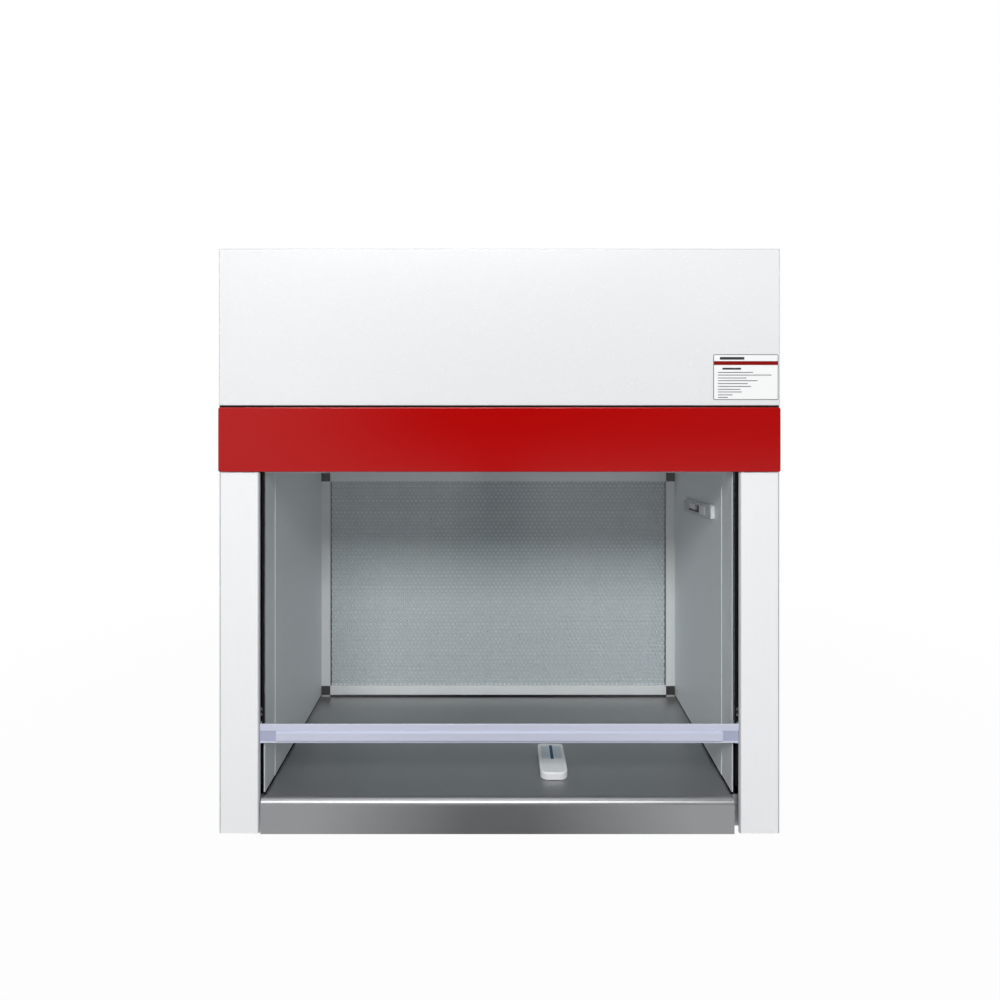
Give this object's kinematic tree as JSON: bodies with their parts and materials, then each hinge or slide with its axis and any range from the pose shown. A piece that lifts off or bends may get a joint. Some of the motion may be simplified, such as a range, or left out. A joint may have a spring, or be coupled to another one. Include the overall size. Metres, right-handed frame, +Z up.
{
  "type": "laminar flow cabinet",
  "caption": "Bench-top laminar flow cabinet with a counterbalanced glass sash, a steel worktop, a perforated air screen, a red fascia and a blower in the top.",
  "frame": {"origin": "centre of the footprint on the surface that the cabinet stands on", "axes": "+Z up, +X to the viewer's right when facing the front, +Y towards the rear cover"},
  "size_m": [0.85, 0.6, 0.885],
  "materials": {
    "white_paint": "satin",
    "red_paint": "satin",
    "post_steel": "brushed",
    "cover_steel": "satin",
    "worktop_steel": "brushed",
    "wall_steel": "satin",
    "screen_frame": "anodised",
    "corner_plastic": "matt",
    "screen_sheet": "satin",
    "zinc_sheet": "galvanised",
    "zinc_parts": "zinc plated",
    "rail_black": "matt",
    "motor_paint": "matt",
    "filter_aluminium": "mill",
    "filter_paper": "matt",
    "filter_glue": "satin",
    "filter_foam": "matt",
    "prefilter_fleece": "matt",
    "grille_steel": "satin",
    "box_paint": "satin",
    "lamp_glass": "gloss",
    "holder_plastic": "matt",
    "outlet_plastic": "satin",
    "shutter_plastic": "satin",
    "black_plastic": "matt",
    "rocker_plastic": "gloss",
    "clear_glass": "clear",
    "handle_aluminium": "anodised",
    "bracket_steel": "satin",
    "runner_nylon": "matt",
    "cable_steel": "stranded",
    "eye_steel": "bright",
    "weight_iron": "painted",
    "pulley_nylon": "matt",
    "remote_plastic": "satin",
    "remote_face": "satin",
    "foot_rubber": "matt",
    "screw_steel": "zinc plated"
  },
  "bodies": {
    "cabinet": {"base_pan": "zinc_sheet", "blower_deck": "zinc_sheet", "blower_motor": "motor_paint", "blower_scroll": "zinc_parts", "case_screws": "screw_steel", "chamber_ceiling": "wall_steel", "control_box": "box_paint", "control_fascia": "red_paint", "filter_frame": "filter_aluminium", "filter_gasket": "filter_foam", "filter_glue_beads": "filter_glue", "filter_pleat_pack": "filter_paper", "filter_shelf": "zinc_sheet", "inlet_ring": "zinc_parts", "lamp_holders": "holder_plastic", "lamp_tube": "lamp_glass", "left_inner_wall": "wall_steel", "left_side_cover": "post_steel", "left_weight_cable": "cable_steel", "outlet_bezel": "outlet_plastic", "perforated_screen": "screen_sheet", "plenum_partition": "zinc_sheet", "power_inlet": "black_plastic", "pulley_axles": "zinc_parts", "pulley_brackets": "zinc_parts", "pulley_cable_arcs": "cable_steel", "rear_cover": "cover_steel", "right_inner_wall": "wall_steel", "right_side_cover": "post_steel", "right_weight_cable": "cable_steel", "rubber_feet": "foot_rubber", "sash_cables": "cable_steel", "sash_rails": "rail_black", "screen_corner_blocks": "corner_plastic", "screen_end_rails": "screen_frame", "screen_side_rails": "screen_frame", "top_cover": "white_paint", "upper_front_panel": "white_paint", "uv_tube": "lamp_glass", "worktop": "worktop_steel", "worktop_supports": "zinc_sheet"},
    "sash": {"sash_glass": "clear_glass", "sash_handle_bar": "handle_aluminium", "sash_grip": "handle_aluminium", "sash_brackets": "handle_aluminium", "glass_clips": "bracket_steel", "sash_runners": "runner_nylon", "cable_eyes": "eye_steel"},
    "left_weight": {"left_counterweight": "weight_iron"},
    "right_weight": {"right_counterweight": "weight_iron"},
    "left_wheel": {"left_pulley": "pulley_nylon"},
    "right_wheel": {"right_pulley": "pulley_nylon"},
    "fan_wheel": {"impeller": "zinc_parts"},
    "prefilter": {"intake_grille": "grille_steel", "prefilter_frame": "filter_aluminium", "prefilter_media": "prefilter_fleece"},
    "remote_control": {"remote_case": "remote_plastic", "remote_keypad": "remote_face"},
    "shutter": {"outlet_shutter": "shutter_plastic"},
    "rocker": {"power_rocker": "rocker_plastic"}
  },
  "joints": [
    {"name": "sash_slide", "type": "slide", "parent": "cabinet", "child": "sash", "axis": [0, 0, 1], "range_m": [-0.08, 0.23], "deforming": ["sash_cables"]},
    {"name": "left_counterweight_slide", "type": "slide", "parent": "cabinet", "child": "left_weight", "axis": [0, 0, 1], "range_m": [-0.23, 0.08], "deforming": ["left_weight_cable"]},
    {"name": "right_counterweight_slide", "type": "slide", "parent": "cabinet", "child": "right_weight", "axis": [0, 0, 1], "range_m": [-0.23, 0.08], "deforming": ["right_weight_cable"]},
    {"name": "left_pulley_spin", "type": "hinge", "parent": "cabinet", "child": "left_wheel", "pos_m": [-0.38518, -0.27082, 0.842], "axis": [-0.7071, -0.7071, 0], "range_deg": [-190, 535]},
    {"name": "right_pulley_spin", "type": "hinge", "parent": "cabinet", "child": "right_wheel", "pos_m": [0.38518, -0.27082, 0.842], "axis": [-0.7071, 0.7071, 0], "range_deg": [-190, 535]},
    {"name": "impeller_spin", "type": "hinge", "parent": "cabinet", "child": "fan_wheel", "pos_m": [-0.03, 0.01, 0.7], "axis": [0, 0, 1], "continuous": true},
    {"name": "prefilter_lift", "type": "slide", "parent": "cabinet", "child": "prefilter", "axis": [0, 0, 1], "range_m": [0, 0.12]},
    {"name": "remote_lift", "type": "slide", "parent": "cabinet", "child": "remote_control", "axis": [0, 0, 1], "range_m": [0, 0.1]},
    {"name": "outlet_shutter_slide", "type": "slide", "parent": "cabinet", "child": "shutter", "axis": [0, 0.9969, -0.0785], "range_m": [-0.029, 0]},
    {"name": "power_rocker_tilt", "type": "hinge", "parent": "cabinet", "child": "rocker", "pos_m": [0.33, 0.2925, 0.8555], "axis": [1, 0, 0], "range_deg": [-14, 0]}
  ],
  "couplings": [
    {"joint": "left_counterweight_slide", "follows": "sash_slide", "ratio": -1},
    {"joint": "right_counterweight_slide", "follows": "sash_slide", "ratio": -1},
    {"joint": "left_pulley_spin", "follows": "sash_slide", "rad_per_m": 40},
    {"joint": "right_pulley_spin", "follows": "sash_slide", "rad_per_m": 40}
  ]
}
